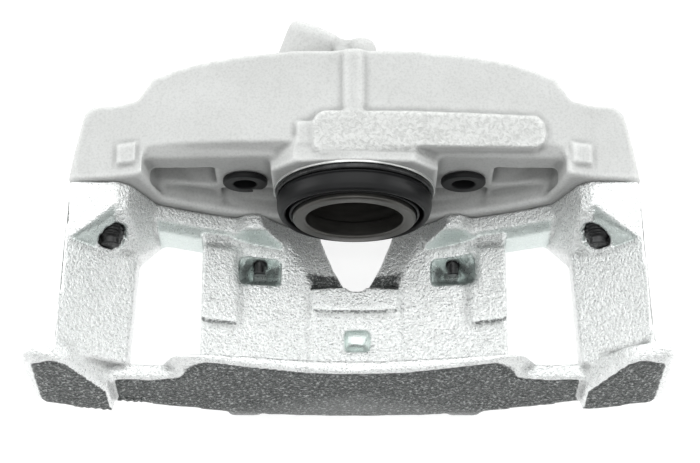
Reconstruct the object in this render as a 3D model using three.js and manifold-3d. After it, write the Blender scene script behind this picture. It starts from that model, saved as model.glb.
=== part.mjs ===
// Floating brake caliper with one piston: an aluminium housing bolted to a cast iron frame.
// Millimetres. The parts are laid out from the middle of the piston's boot seat: +X to the right,
// +Y away from the brake disc, towards the back of the housing, and +Z towards the disc's axis.
// The finished group is moved so that its origin is the middle of the underside of its box.

import * as THREE from 'three';
import { mergeVertices } from 'three/addons/utils/BufferGeometryUtils.js';
import { ConvexGeometry } from 'three/addons/geometries/ConvexGeometry.js';
import Module from 'manifold-3d';

const wasm = await Module();
wasm.setup();

// ---- Driving dimensions ----

const GAP = 0.3; // between two parts that touch
const ROUND = 40; // sides of a large round part
const SMALL_ROUND = 16; // sides of a bolt or a bush
const ARC_STEPS = 20; // pieces in a long arc

const DISC_AXIS_Z = 138; // the brake disc's axis above the piston's axis
const BRIDGE_IN_R = 178; // frame's inner surface, clear of the disc's edge
const BRIDGE_OUT_R = 194; // frame's outer surface
const RAIL_IN_R = 175;
const HOUSING_OUT_R = 196;
const JOINT_Y = -3; // plane where the housing meets the frame
const BAR_BACK_Y = -85; // the outer bar's pad face
const BAR_REACH = { left: 154.5, right: 148.5 }; // the bar's two ends, from the middle
const BAR_SLOPE_X = { left: 117, right: 110 }; // where its raised ends begin
const HUMP_END_X = { left: 92, right: 87 }; // where the bar's hump meets its lower shoulder
const ARM_IN_X = 103; // arm's edges at its rear
const ARM_OUT_X = 135.5;
const ARM_SPREAD = [3.8, 2.6]; // how far the inner and outer edges have moved outwards at the bar
const ARM_DRAFT = 2.4; // lean of an arm's window side
const BRIDGE_X = 75;
const WINDOW_REAR_Y = -18;

const PISTON_R = 30;
const PISTON_CUP_R = 23.6;
const PISTON_RIM_Y = -15.6;
const PISTON_LENGTH = 57;
const CUP_DEPTH = 34;
const CYLINDER_DEPTH = 44;
const BOOT_SEAT_R = 38.6;

const BUSH_X = 53.3;
const BUSH_FACE_Y = 6.4;
const BUSH_BORE_R = 8.5;
const BUSH_REAR_Y = 52;
const BUSH_FLANGE_R = 10.9;
const BUSH_HOLE_R = 5.6;

const FRAME_BOLT_X = 116.5;
const FRAME_BOLT_Z = 8;
const FRAME_BOLT_R = 6; // M12
const FRAME_BOLT_TIP_Y = -31;
const EAR_SEAT_Y = 21; // bolt head's seat, in a recess in the ear's back

const BRIDGE_BOLT_X = { left: -47.5, right: 49.7 };
const BRIDGE_BOLT_Z = -40;
const BRIDGE_BOLT_R = 4; // M8
const BRIDGE_BOLT_POINT_R = 2.9;
const BRIDGE_BOLT_THREAD_Y = -22.2; // where the point ends and the thread starts
const BRIDGE_BOLT_TIP_Y = -29.5;
const BRIDGE_BOLT_SEAT_Y = 12;

const BLEEDER = { x: 20, z: -26, seatY: 62, threadR: 5 };
const HOSE_PORT = { x: -18.4, y: 78.6, z: 20, turn: 22.5, lift: 20.5 }; // banjo seat's middle; degrees off +Y

const HOUSING_TOP_Z = 37.5;
const HOUSING_SIDE_Z = 30;
const EAR_TOP_Z = 22;
const SIDE_POCKET_Y = 22; // back of the pocket between a bush face and an ear
const REST_Z = -58; // the plane the caliper lies on

const sides = [-1, 1];
const sideName = (side) => (side < 0 ? 'left' : 'right');
const bridgeBoltX = (side) => BRIDGE_BOLT_X[sideName(side)];

// ---- Materials ----

const finish = (color, roughness, metalness) => (
  new THREE.MeshStandardMaterial({ color, roughness, metalness })
);
const looks = {
  aluminium: () => finish(0xd8d8d4, 0.6, 0.6),
  zincIron: () => finish(0xc4c8c6, 0.45, 0.8),
  blackSteel: () => finish(0x2a2a2a, 0.4, 0.8),
  darkSteel: () => finish(0x5a5550, 0.35, 0.9),
  rubber: () => finish(0x1a1a1a, 0.7, 0),
  seal: () => finish(0x20242a, 0.6, 0),
  plating: () => finish(0xc9c5b4, 0.3, 0.9),
  plastic: () => finish(0x242424, 0.5, 0),
};

// ---- Solids ----

function solid(geometry) {
  const bare = geometry.clone();
  bare.deleteAttribute('normal');
  bare.deleteAttribute('uv');
  const merged = mergeVertices(bare, 1e-4);
  return new wasm.Manifold(new wasm.Mesh({
    numProp: 3,
    vertProperties: merged.attributes.position.array,
    triVerts: Uint32Array.from(merged.index.array),
  }));
}

const join = (first, ...rest) => rest.reduce((whole, piece) => whole.add(piece), first);
const cut = (first, ...rest) => rest.reduce((whole, piece) => whole.subtract(piece), first);

function geometryOf(manifold) {
  const { vertProperties, triVerts } = manifold.getMesh();
  const geometry = new THREE.BufferGeometry();
  geometry.setAttribute('position', new THREE.BufferAttribute(vertProperties, 3));
  geometry.setIndex(new THREE.BufferAttribute(triVerts, 1));
  const faceted = geometry.toNonIndexed();
  faceted.computeVertexNormals();
  return faceted;
}

const outline = (points) => new THREE.Shape(points.map(([a, b]) => new THREE.Vector2(a, b)));

// A symmetric outline from its right half, which runs from the bottom middle to the top middle.
const mirrored = (half) => outline([...half, ...half.map(([x, z]) => [-x, z]).reverse()]);

// A plate with its outline in X and Z. Its back is flat, and its front lies where frontY(z) says.
function plate(shape, backY, frontY) {
  const geometry = new THREE.ExtrudeGeometry(shape, { depth: 1, bevelEnabled: false });
  geometry.rotateX(Math.PI / 2);
  const place = geometry.attributes.position;
  for (let i = 0; i < place.count; i += 1) {
    const isFront = place.getY(i) < -0.5;
    place.setY(i, isFront ? frontY(place.getZ(i)) : backY);
  }
  return solid(geometry);
}

// A slab with its outline in X and Y, between two heights.
function slab(shape, lowZ, highZ) {
  const geometry = new THREE.ExtrudeGeometry(shape, {
    depth: highZ - lowZ, bevelEnabled: false,
  });
  return solid(geometry.translate(0, 0, lowZ));
}

function box([x0, x1], [y0, y1], [z0, z1]) {
  const geometry = new THREE.BoxGeometry(x1 - x0, y1 - y0, z1 - z0);
  return solid(geometry.translate((x0 + x1) / 2, (y0 + y1) / 2, (z0 + z1) / 2));
}

const hull = (points) => solid(new ConvexGeometry(points.map((p) => new THREE.Vector3(...p))));

// A round part about a line parallel to Y: a closed profile of [radius, y] points.
function turned(profile, x = 0, z = 0, steps = ROUND) {
  const ring = [...profile, profile[0]].map(([r, y]) => new THREE.Vector2(r, y));
  const open = profile[0][0] === 0 ? ring.slice(0, -1) : ring;
  return solid(new THREE.LatheGeometry(open, steps).translate(x, 0, z));
}

// A cylinder along Y between two depths.
const rod = (r, y0, y1, x = 0, z = 0, steps = ROUND) => (
  turned([[0, y0], [r, y0], [r, y1], [0, y1]], x, z, steps)
);

// Height of the disc-concentric surface of a given radius.
const arcZ = (r, x) => DISC_AXIS_Z - Math.sqrt(r * r - x * x);

// The part of a ring about the disc's axis that lies between two X values.
function sector(inR, outR, x0, x1, backY, frontY) {
  const steps = Array.from({ length: ARC_STEPS + 1 }, (_, i) => x0 + ((x1 - x0) * i) / ARC_STEPS);
  const bottom = steps.map((x) => [x, arcZ(outR, x)]);
  const top = steps.reverse().map((x) => [x, arcZ(inR, x)]);
  return plate(outline([...bottom, ...top]), backY, () => frontY);
}

const assembly = new THREE.Group();

function addPart(name, manifold, material) {
  const mesh = new THREE.Mesh(geometryOf(manifold), material);
  mesh.name = name;
  assembly.add(mesh);
}

// ---- Outer frame ----

function rearRail() {
  const lipY = JOINT_Y - 7.6;
  const ring = turned([
    [RAIL_IN_R, lipY], [RAIL_IN_R + 4.5, lipY - 5], [BRIDGE_IN_R + 12, WINDOW_REAR_Y],
    [BRIDGE_OUT_R, WINDOW_REAR_Y], [BRIDGE_OUT_R, JOINT_Y - GAP / 2], [RAIL_IN_R, JOINT_Y - GAP / 2],
  ], 0, DISC_AXIS_Z, 150);
  return ring.intersect(box([-100, 100], [-30, 0], [-70, 10]));
}

// The root block of one arm: a sloped facet at its front holds the tip of the frame bolt.
function rootBlock(side) {
  const rear = JOINT_Y - GAP / 2;
  const points = [
    [135.5, rear, 22], [113, rear, 22], [107, rear, 18], [95, rear, -12], [93, rear, -36], [135.5, rear, 0],
    [136.3, -33.5, 21.5], [113.5, -14, 22], [108, -15.5, 18], [103.8, -31, -7],
    [94, -16, -33], [101.5, -21.5, -30], [106, -31.5, -24], [136.3, -34, 1],
  ];
  return hull(points.map(([x, y, z]) => [side * x, y, z]));
}

// An arm moves outwards on its way to the bar, and its window side leans back under it.
function arm(side) {
  const [x0, x1] = [ARM_IN_X, ARM_OUT_X + ARM_SPREAD[1]].map((x) => side * x).sort((a, b) => a - b);
  const rearY = JOINT_Y - 5;
  const frontY = BAR_BACK_Y - 1;
  const place = ([x, y, z]) => [side * x, y, z];
  const windowSide = (y, spread) => [
    [ARM_IN_X - 20, y, 10], [ARM_IN_X + spread, y, 10], [ARM_IN_X + spread + ARM_DRAFT, y, -40],
    [ARM_IN_X - 20, y, -40],
  ].map(place);
  const outerSide = (y, spread) => [
    [ARM_OUT_X + spread, y, 60], [ARM_OUT_X + 20, y, 60],
    [ARM_OUT_X + spread, y, -20], [ARM_OUT_X + 20, y, -20],
  ].map(place);
  return cut(
    sector(BRIDGE_IN_R, BRIDGE_OUT_R, x0, x1, rearY, frontY),
    hull([...windowSide(rearY + 1, 0), ...windowSide(frontY - 1, ARM_SPREAD[0])]),
    hull([...outerSide(rearY + 1, 0), ...outerSide(frontY - 1, ARM_SPREAD[1])]),
  );
}

// The middle of the bar is thinner than its ends, and both lean outwards towards the wheel rim.
function outerBar() {
  const lean = 10 / 51;
  const bottom = [-120, -90, -60, -30, 0, 30, 60, 90, 116].map((x) => [x, -51 + (x * x) / 720]);
  const middle = outline([
    ...bottom, [116, -7], [91, -9], [87, -7], [82, 4.5], [77, 7.5], [68, 9.5], [45, 3.5], [22, -1.4], [0, -3],
    [-22, -1.4], [-45, 3.5], [-68, 9.5], [-82, 7.5], [-87, 4.5], [-92, -7], [-96, -9], [-120, -7],
  ]);
  const end = (side) => {
    const reach = BAR_REACH[sideName(side)];
    const slopeX = BAR_SLOPE_X[sideName(side)];
    return outline([
      [slopeX - 1, -29.8], [slopeX + 14, -26.5], [reach - 6, -21], [reach - 1, -19.5], [reach, -15],
      [reach, 17], [reach - 1.5, 22.5], [reach - 6, 25], [slopeX + 21, 25], [slopeX + 15, 20.5], [slopeX, -6],
      [slopeX - 1, -7.5],
    ].map(([x, z]) => [side * x, z]));
  };
  const frontOf = (edgeY, edgeZ) => (z) => edgeY - (edgeZ - z) * lean;
  return join(
    plate(middle, BAR_BACK_Y, frontOf(-90.5, 0)),
    ...sides.map((side) => plate(end(side), BAR_BACK_Y, frontOf(-92.5, 24))),
  );
}

// The bars under the outer bar's edge that the frame lies on.
const lug = (side) => hull([
  [44, -84, -46], [44, -99, -47], [64, -84, -42], [64, -99, -43],
  [46, -84, REST_Z], [46, -95, REST_Z], [62, -84, REST_Z], [62, -95, REST_Z],
  [46, -99, -53], [62, -99, -53],
].map(([x, y, z]) => [side * x, y, z]));

function bridge() {
  const plain = sector(BRIDGE_IN_R, BRIDGE_OUT_R, -BRIDGE_X, BRIDGE_X, JOINT_Y - 6, BAR_BACK_Y - 4);
  const panelStepY = -49;
  const rearPanel = sector(BRIDGE_IN_R - 3, BRIDGE_IN_R + 2, -21, 22, -28, panelStepY);
  const frontPanel = sector(BRIDGE_IN_R - 1, BRIDGE_IN_R + 2, -21, 22, panelStepY, BAR_BACK_Y - 2);
  const padStop = (x0, x1) => sector(BRIDGE_IN_R - 2.2, BRIDGE_IN_R + 2, x0, x1, WINDOW_REAR_Y - 2, -58);
  return join(plain, rearPanel, frontPanel, padStop(-BRIDGE_X, -57), padStop(57, BRIDGE_X));
}

const notch = () => slab(outline([
  [-19, -1], [-16, -11], [-10.5, -25], [-4.8, -35.5], [-2.4, -38.5], [4.4, -38.5], [6.8, -35.5],
  [12.5, -25], [18, -11], [21, -1],
]), -80, -20);

// The pocket in which a bridge bolt's point shows, with sloping walls.
const pocket = (side) => hull([
  [16.5, -20.5, -31], [16.5, -38.5, -31], [-13, -20.5, -25], [-13, -38.5, -25],
  [3.7, -26.8, -44.3], [3.7, -32.5, -44.3], [-3.7, -26.8, -44.3], [-3.7, -32.5, -44.3],
].map(([x, y, z]) => [bridgeBoltX(side) - side * x, y, z]));

// The raised lip of the rail round a bridge bolt, with a sloped front.
function boltBoss(side) {
  const shape = outline([
    [34, -48], [62, -45], [61, -28], [53, -21], [43.5, -21], [36, -30],
  ].map(([x, z]) => [side * x, z]));
  return plate(shape, JOINT_Y - GAP / 2, (z) => JOINT_Y - 7.6 - (z + 21) * -0.45);
}

// The slot in the front panel, with sloping sides.
const panelSlot = () => hull([
  [-6.5, -58.6, -37], [10.5, -58.6, -37], [-3, -59.4, -43], [4.6, -59.4, -43],
  [-3, -66, -43], [4.6, -66, -43], [-6.5, -73, -37], [10.5, -73, -37],
]);

// What is cut off a corner of the hump of the bar: two facets that slope towards the front and the end.
function humpBevel(side) {
  const end = HUMP_END_X[sideName(side)];
  const foot = [end + 1, -84.9, -8.9];
  const top = [end - 6, -84.9, 6.5];
  const front = [end - 11.3, -91.8, -6.5];
  const tail = [end - 24, -88.7, 9.2];
  const outwards = [[0, 0, 0], [3.5, -9, 4], [9, -9, 1], [1, -4, 9]];
  const offCorner = (corners) => hull(corners.flatMap(([x, y, z]) => (
    outwards.map(([dx, dy, dz]) => [side * (x + dx), y + dy, z + dz])
  )));
  return join(offCorner([foot, top, front]), offCorner([top, front, tail]));
}

// What rounds off the bar's end, along its outer side and the outer part of its top.
function endBevels(side) {
  const reach = BAR_REACH[sideName(side)];
  return [
    [[reach + 0.2, -85.6, 40], [reach - 10.5, -91.4, 40], [reach + 20, -91.4, 40],
      [reach + 0.2, -101.3, -40], [reach - 10.5, -107.1, -40], [reach + 20, -107.1, -40]],
    [[reach - 21, -92.2, 25.2], [reach + 5, -86, 25.2], [reach + 5, -95, 14], [reach - 21, -100, 25.2],
      [reach + 5, -100, 14], [reach - 21, -92.2, 50], [reach + 5, -86, 50]],
  ].map((points) => hull(points.map(([x, y, z]) => [side * x, y, z])));
}

function outerFrame() {
  const whole = join(
    rearRail(), ...sides.map(rootBlock), ...sides.map(arm), bridge(), outerBar(), ...sides.map(lug),
    ...sides.map(boltBoss),
  );
  const pistonClearance = turned([[0, -37], [43.5, -37], [52, -1], [0, -1]]);
  const boltHole = (side) => rod(
    FRAME_BOLT_R + GAP, FRAME_BOLT_TIP_Y - GAP, 0, side * FRAME_BOLT_X, FRAME_BOLT_Z, SMALL_ROUND,
  );
  const bridgeHole = (side) => turned([
    [0, -30], [BRIDGE_BOLT_POINT_R + GAP, -30], [BRIDGE_BOLT_POINT_R + GAP, BRIDGE_BOLT_THREAD_Y - GAP],
    [BRIDGE_BOLT_R + GAP, BRIDGE_BOLT_THREAD_Y - GAP], [BRIDGE_BOLT_R + GAP, 0], [0, 0],
  ], bridgeBoltX(side), BRIDGE_BOLT_Z, SMALL_ROUND);
  return cut(
    whole, pistonClearance, notch(), panelSlot(), ...sides.map(pocket), ...sides.map(boltHole),
    ...sides.map(bridgeHole), ...sides.map(humpBevel), ...sides.flatMap(endBevels),
  );
}

// ---- Piston housing ----

const housingPlan = () => mirrored([
  [0, JOINT_Y + GAP / 2], [137, JOINT_Y + GAP / 2], [131.8, 23.5], [130, 31], [126.5, 34.6], [104.5, 35.8],
  [97, 46.4], [86, 50.5], [74, 53.6], [50, 56.9], [24, 58.2], [0, 58.4],
]);

const housingFront = () => {
  const bottom = [0, 20, 40, 60, 80, 100, 120, 137].map((x) => [x, arcZ(HOUSING_OUT_R, x)]);
  return mirrored([
    ...bottom, [137, 18.5], [133.5, EAR_TOP_Z], [115, EAR_TOP_Z + 2.5], [98, HOUSING_SIDE_Z], [60, 34.4],
    [30, 36.8], [0, HOUSING_TOP_Z],
  ]);
};

// The bevel along the top's front edge.
const topBevel = (side) => hull([
  [0, -5, 31], [0, BUSH_FACE_Y, 31], [0, 10.5, HOUSING_TOP_Z + 1], [0, 10.5, 50], [0, -5, 50],
  [100, -5, 26], [100, BUSH_FACE_Y, 26], [100, 12.5, HOUSING_SIDE_Z + 0.5], [100, 12.5, 50], [100, -5, 50],
].map(([x, y, z]) => [side * x, y, z]));

// Space in front of the bush faces, above the lower flange that meets the frame's rail.
function frontRecess() {
  const flangeIn = RAIL_IN_R - 5;
  const steps = Array.from({ length: 15 }, (_, i) => -93 + (186 * i) / 14);
  const low = steps.map((x) => [x, arcZ(flangeIn, x)]);
  return plate(outline([...low, [98, 14], [104, 45], [-104, 45], [-98, 14]]), BUSH_FACE_Y, () => -20);
}

// The deeper pocket between a bush face and an ear, with a floor that slopes down to the flange.
const sidePocket = (side) => hull([
  [67, 0, 14], [104, 0, 13], [98, SIDE_POCKET_Y, 12], [69, SIDE_POCKET_Y, 13],
  [67, 0, -11], [96, 0, -3], [69, SIDE_POCKET_Y, -2], [98, SIDE_POCKET_Y, 0],
].map(([x, y, z]) => [side * x, y, z]));

// The lower edge of a bush face steps back to the flange.
const lowerStep = (side) => hull([
  [36, 0, -11], [66, 0, -11], [66, 12, -13], [36, 12, -13],
  [36, 12, -26], [66, 12, -19], [36, 0, -27], [66, 0, -20],
].map(([x, y, z]) => [side * x, y, z]));

// The cored-out back of the housing, on one side of the cylinder.
function backPocket(side) {
  const bottom = [50, 65, 80, 96].map((x) => [x, arcZ(HOUSING_OUT_R - 8, x)]);
  const shape = outline([...bottom, [98, 17], [50, 21], [40, 16], [42, -30]].map(([x, z]) => [side * x, z]));
  return plate(shape, 80, () => SIDE_POCKET_Y + 4);
}

const boltScallop = (side) => rod(
  9.3, BRIDGE_BOLT_SEAT_Y, 70, bridgeBoltX(side), BRIDGE_BOLT_Z, SMALL_ROUND,
);

// A round part along the hose port's axis, which is lifted and turned off +Y.
function portPart(profile, steps) {
  const geometry = new THREE.LatheGeometry(profile.map(([r, d]) => new THREE.Vector2(r, d)), steps);
  geometry.rotateX(THREE.MathUtils.degToRad(HOSE_PORT.lift));
  geometry.rotateZ(THREE.MathUtils.degToRad(-HOSE_PORT.turn));
  return solid(geometry.translate(HOSE_PORT.x, HOSE_PORT.y, HOSE_PORT.z));
}

function backBosses() {
  const hoseBoss = portPart([[0, -40], [13.2, -40], [13.2, -4], [12.4, -1.2], [10.5, 0], [0, 0]], ROUND);
  const drillBoss = turned([
    [0, 44], [7.6, 44], [7.6, 69], [6, 72.5], [3, 74], [0, 74],
  ], 3.5, 16, SMALL_ROUND);
  const bleederBoss = turned([
    [0, 44], [10.5, 44], [10.5, BLEEDER.seatY - 1], [9.5, BLEEDER.seatY], [0, BLEEDER.seatY],
  ], BLEEDER.x, BLEEDER.z, SMALL_ROUND);
  const cylinderEnd = turned([[0, 5], [36.5, 5], [36.5, 46], [33, 51], [20, 53], [0, 53.4]]);
  const web = hull([
    [-9, 50, 26], [-9, 72.8, 22], [-9, 72.8, 13], [-9, 50, 8],
    [4, 50, 23], [4, 72, 19], [4, 72, 12], [4, 50, 9],
  ]);
  return join(hoseBoss, drillBoss, bleederBoss, cylinderEnd, web);
}

const hosePort = () => join(
  portPart([[0, -33], [1.8, -33], [1.8, -14], [4.6, -11], [4.6, 1], [0, 1]], SMALL_ROUND),
  rod(1.5, CYLINDER_DEPTH - 1, 51, -28.8, 8, 12),
);

function castMarks() {
  const ribSide = (y) => [[-7, y, 36], [6, y, 36], [-4.2, y, 39.6], [3.2, y, 39.6]];
  const rib = hull([...ribSide(7), ...ribSide(58.4)]);
  const plaquePlan = slab(outline([
    [-19, 7], [-16, 3.4], [-2, 3.4], [3.5, 6.6], [86, 8.6], [90, 11.5],
    [91, 16], [90, 22.5], [87, 25.4], [-14, 25.4], [-18, 23.5], [-19.5, 20],
  ]), 24, 50);
  const plaqueBand = plate(outline([
    [-25, 30], [95, 27], [95, 33.2], [60, 37], [30, 39.6], [0, 40.5], [-25, 39.8],
  ]), 40, () => 0);
  const tab = hull([
    [-28, 8, 30], [-28, 22, 33], [-19, 8, 30], [-19, 22, 33],
    [-27, 9, 39], [-27, 20, 39], [-19, 9, 39], [-19, 20, 39],
  ]);
  const square = (side) => hull([
    [103.5, 3, 18], [113.8, 3, 18], [103.5, 14, 18], [113.8, 14, 18],
    [104.2, 3.4, 30], [113, 3.4, 27.4], [104.2, 13, 30], [113, 13, 27.4],
  ].map(([x, y, z]) => [side * x, y, z]));
  return join(rib, plaquePlan.intersect(plaqueBand), tab, ...sides.map(square));
}

const foot = (side) => hull([
  [27, 18, -50], [49, 18, -48], [27, 48, -50], [49, 48, -48],
  [30, 21, REST_Z], [46, 21, REST_Z], [30, 45, REST_Z], [46, 45, REST_Z],
].map(([x, y, z]) => [side * x, y, z]));

function pistonHousing() {
  const body = slab(housingPlan(), -70, 60).intersect(plate(housingFront(), 80, () => -20));
  const pistonBoss = plate(mirrored([
    [0, -41], [16, -38], [30, -28], [39.8, -8], [39.8, 26], [28, 38], [0, 40.3],
  ]), 12, () => 0);
  const bushBoss = (side) => rod(12.5, BUSH_FACE_Y + 1, BUSH_REAR_Y, side * BUSH_X, 0);
  const earBoss = (side) => rod(14, JOINT_Y + GAP / 2, EAR_SEAT_Y, side * FRAME_BOLT_X, FRAME_BOLT_Z);
  const cored = cut(
    body, frontRecess(), ...sides.map(topBevel), ...sides.map(sidePocket), ...sides.map(lowerStep),
    ...sides.map(backPocket), box([-43, 43], [46, 80], [-70, 24]),
  );
  const whole = join(
    cored, pistonBoss, backBosses(), castMarks(), ...sides.map(bushBoss), ...sides.map(earBoss),
    ...sides.map(foot),
  );
  const cylinder = turned([
    [0, -5], [BOOT_SEAT_R, -5], [BOOT_SEAT_R, -0.01], [PISTON_R + GAP, -0.01], [PISTON_R + GAP, 11.7],
    [PISTON_R + 3.6, 11.7], [PISTON_R + 3.6, 16.3], [PISTON_R + GAP, 16.3], [PISTON_R + GAP, CYLINDER_DEPTH],
    [0, CYLINDER_DEPTH],
  ]);
  const earHole = (side) => join(
    rod(FRAME_BOLT_R + 0.5, -10, 60, side * FRAME_BOLT_X, FRAME_BOLT_Z, SMALL_ROUND),
    rod(13.2, EAR_SEAT_Y, 60, side * FRAME_BOLT_X, FRAME_BOLT_Z),
  );
  return cut(
    whole, cylinder, hosePort(), ...sides.map(earHole), ...sides.map(boltScallop),
    rod(BLEEDER.threadR + GAP, 47, 70, BLEEDER.x, BLEEDER.z, SMALL_ROUND),
    rod(1.5, CYLINDER_DEPTH - 1, 50, BLEEDER.x, BLEEDER.z, 12),
    ...sides.map((side) => rod(BUSH_BORE_R, 0, 60, side * BUSH_X, 0, SMALL_ROUND * 1.5)),
    ...sides.map((side) => (
      rod(BRIDGE_BOLT_R + 0.5, -10, 20, bridgeBoltX(side), BRIDGE_BOLT_Z, SMALL_ROUND)
    )),
  );
}

// ---- Piston, its seal and boot ----

const piston = () => turned([
  [0, PISTON_RIM_Y + CUP_DEPTH], [18, PISTON_RIM_Y + CUP_DEPTH], [PISTON_CUP_R, PISTON_RIM_Y + CUP_DEPTH - 5],
  [PISTON_CUP_R, PISTON_RIM_Y + 0.8], [PISTON_CUP_R + 0.8, PISTON_RIM_Y], [PISTON_R - 0.8, PISTON_RIM_Y],
  [PISTON_R, PISTON_RIM_Y + 0.8], [PISTON_R, -12.6], [28.4, -12.2], [28.4, -8.8], [PISTON_R, -8.4],
  [PISTON_R, PISTON_RIM_Y + PISTON_LENGTH - 2], [PISTON_R - 2, PISTON_RIM_Y + PISTON_LENGTH],
  [0, PISTON_RIM_Y + PISTON_LENGTH],
]);

const pistonSeal = () => turned([
  [PISTON_R + GAP, 12], [PISTON_R + 3.3, 12], [PISTON_R + 3.3, 16], [PISTON_R + GAP, 16],
]);

const bootRing = () => turned([
  [35, -2.9], [38.3, -2.9], [38.3, -0.9], [37.6, -GAP], [35, -GAP],
]);

const dustBoot = () => turned([
  [28.7, -11.8], [30.4, -12.2], [30.4, -12.9], [31.7, -12.7], [32.1, -5.4], [32.8, -4.4],
  [33.4, -5.4], [33.5, -12], [34.2, -13.4], [35.2, -13.6], [36.4, -12.4], [37.6, -9.2],
  [37.8, -4.9], [36.9, -4.3], [36.9, -3.2],
  [33.2, -3.2], [31, -4.4], [30.5, -8.6], [28.7, -9.1],
]);

// ---- Guide bushes ----

function guideBush(side) {
  const rearLip = BUSH_REAR_Y + GAP;
  const bush = turned([
    [BUSH_HOLE_R, BUSH_FACE_Y - 3], [BUSH_FLANGE_R - 0.7, BUSH_FACE_Y - 3],
    [BUSH_FLANGE_R, BUSH_FACE_Y - 2.3], [BUSH_FLANGE_R, BUSH_FACE_Y - GAP],
    [BUSH_BORE_R - GAP, BUSH_FACE_Y - GAP], [BUSH_BORE_R - GAP, rearLip],
    [BUSH_BORE_R + 1.5, rearLip], [BUSH_BORE_R + 0.5, rearLip + 2.5], [BUSH_HOLE_R, rearLip + 2.5],
  ], side * BUSH_X, 0, 36);
  const toolNotch = hull([
    [-BUSH_X + 3, 0, -7.5], [-BUSH_X + 10, 0, -4.5], [-BUSH_X + 12, 0, -12], [-BUSH_X + 3, 0, -12],
    [-BUSH_X + 3, 6, -7.5], [-BUSH_X + 10, 6, -4.5], [-BUSH_X + 12, 6, -12], [-BUSH_X + 3, 6, -12],
  ]);
  return side < 0 ? bush.subtract(toolNotch) : bush;
}

function guideCap(side) {
  const seatY = BUSH_REAR_Y + GAP + 2.5 + GAP;
  return turned([
    [0, seatY - 7], [BUSH_HOLE_R - GAP, seatY - 7], [BUSH_HOLE_R - GAP, seatY], [BUSH_BORE_R, seatY],
    [BUSH_BORE_R, seatY + 2.5], [BUSH_BORE_R - 1, seatY + 3.5], [0, seatY + 3.5],
  ], side * BUSH_X, 0, 36);
}

// ---- Bolts and bleeder ----

const hexagon = (acrossFlats, y0, y1, x, z) => rod(acrossFlats / Math.sqrt(3), y0, y1, x, z, 6);

// A flanged hexagon bolt along -Y: threaded rings at its end and a plain point.
function flangedBolt({ r, pitch, seatY, tipY, x, z, headR, flats, headHeight, pointR, pointLength }) {
  const ringStart = tipY + pointLength;
  const profile = [[0, tipY], [pointR - 0.6, tipY], [pointR, tipY + 0.6], [pointR, ringStart]];
  for (let i = 0; i < 3; i += 1) {
    profile.push([r - 0.7, ringStart + pitch * (i + 0.25)], [r, ringStart + pitch * (i + 0.6)],
      [r, ringStart + pitch * (i + 0.9)]);
  }
  profile.push([r, seatY + GAP], [headR, seatY + GAP], [headR, seatY + 2], [headR - 2.5, seatY + 3.5]);
  profile.push([0, seatY + 3.5]);
  return join(turned(profile, x, z, SMALL_ROUND), hexagon(flats, seatY + 3, seatY + headHeight, x, z));
}

const frameBolt = (side) => flangedBolt({
  r: FRAME_BOLT_R, pitch: 1.5, seatY: EAR_SEAT_Y, tipY: FRAME_BOLT_TIP_Y, x: side * FRAME_BOLT_X,
  z: FRAME_BOLT_Z, headR: 12.5, flats: 18, headHeight: 12, pointR: 4.9, pointLength: 3,
});

const bridgeBolt = (side) => flangedBolt({
  r: BRIDGE_BOLT_R, pitch: 1.25, seatY: BRIDGE_BOLT_SEAT_Y, tipY: BRIDGE_BOLT_TIP_Y,
  x: bridgeBoltX(side), z: BRIDGE_BOLT_Z, headR: 8.5, flats: 13, headHeight: 9,
  pointR: BRIDGE_BOLT_POINT_R, pointLength: BRIDGE_BOLT_THREAD_Y - BRIDGE_BOLT_TIP_Y,
});

function bleederScrew() {
  const { x, z, seatY, threadR } = BLEEDER;
  const body = turned([
    [0, seatY - 14.5], [1.6, seatY - 14.5], [threadR - 0.6, seatY - 11], [threadR, seatY - 10.4],
    [threadR, seatY + 1], [3.4, seatY + 2], [3.4, seatY + 11], [2.7, seatY + 12], [2.7, seatY + 14],
    [3.6, seatY + 15.4],
    [2.4, seatY + 18.6], [0, seatY + 18.6],
  ], x, z, SMALL_ROUND);
  return join(body, hexagon(11, seatY + GAP, seatY + 7, x, z));
}

function bleederCap() {
  const { x, z, seatY } = BLEEDER;
  return turned([
    [3.9, seatY + 8], [5.8, seatY + 8], [5.8, seatY + 10.5], [5.2, seatY + 11.5], [5.2, seatY + 19],
    [3.6, seatY + 21], [0, seatY + 21], [0, seatY + 19], [3.9, seatY + 19],
  ], x, z, SMALL_ROUND);
}

// ---- The assembly ----

addPart('piston_housing', pistonHousing(), looks.aluminium());
addPart('outer_frame', outerFrame(), looks.zincIron());
addPart('piston', piston(), looks.darkSteel());
addPart('piston_seal', pistonSeal(), looks.seal());
addPart('boot_ring', bootRing(), looks.blackSteel());
addPart('dust_boot', dustBoot(), looks.rubber());
addPart('bleeder_screw', bleederScrew(), looks.plating());
addPart('bleeder_cap', bleederCap(), looks.rubber());
for (const side of sides) {
  addPart(`frame_bolt_${sideName(side)}`, frameBolt(side), looks.blackSteel());
  addPart(`bridge_bolt_${sideName(side)}`, bridgeBolt(side), looks.blackSteel());
  addPart(`guide_bush_${sideName(side)}`, guideBush(side), looks.rubber());
  addPart(`guide_cap_${sideName(side)}`, guideCap(side), looks.plastic());
}

const extent = new THREE.Box3().setFromObject(assembly);
const middle = extent.getCenter(new THREE.Vector3());
assembly.position.set(-middle.x, -middle.y, -extent.min.z);

export default assembly;
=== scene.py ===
"""Looks of a floating brake caliper: an aluminium piston housing bolted to a zinc-plated iron frame.

Lengths in this file are millimetres from the middle of the piston's boot seat (X right, Y towards the back of
the housing, Z towards the disc's axis) until a mesh is made, and metres after that. The floor and the lights
are placed in metres from the frame's origin.
"""

import math

import bmesh
import bpy
import numpy as np
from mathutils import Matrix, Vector, noise


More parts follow.
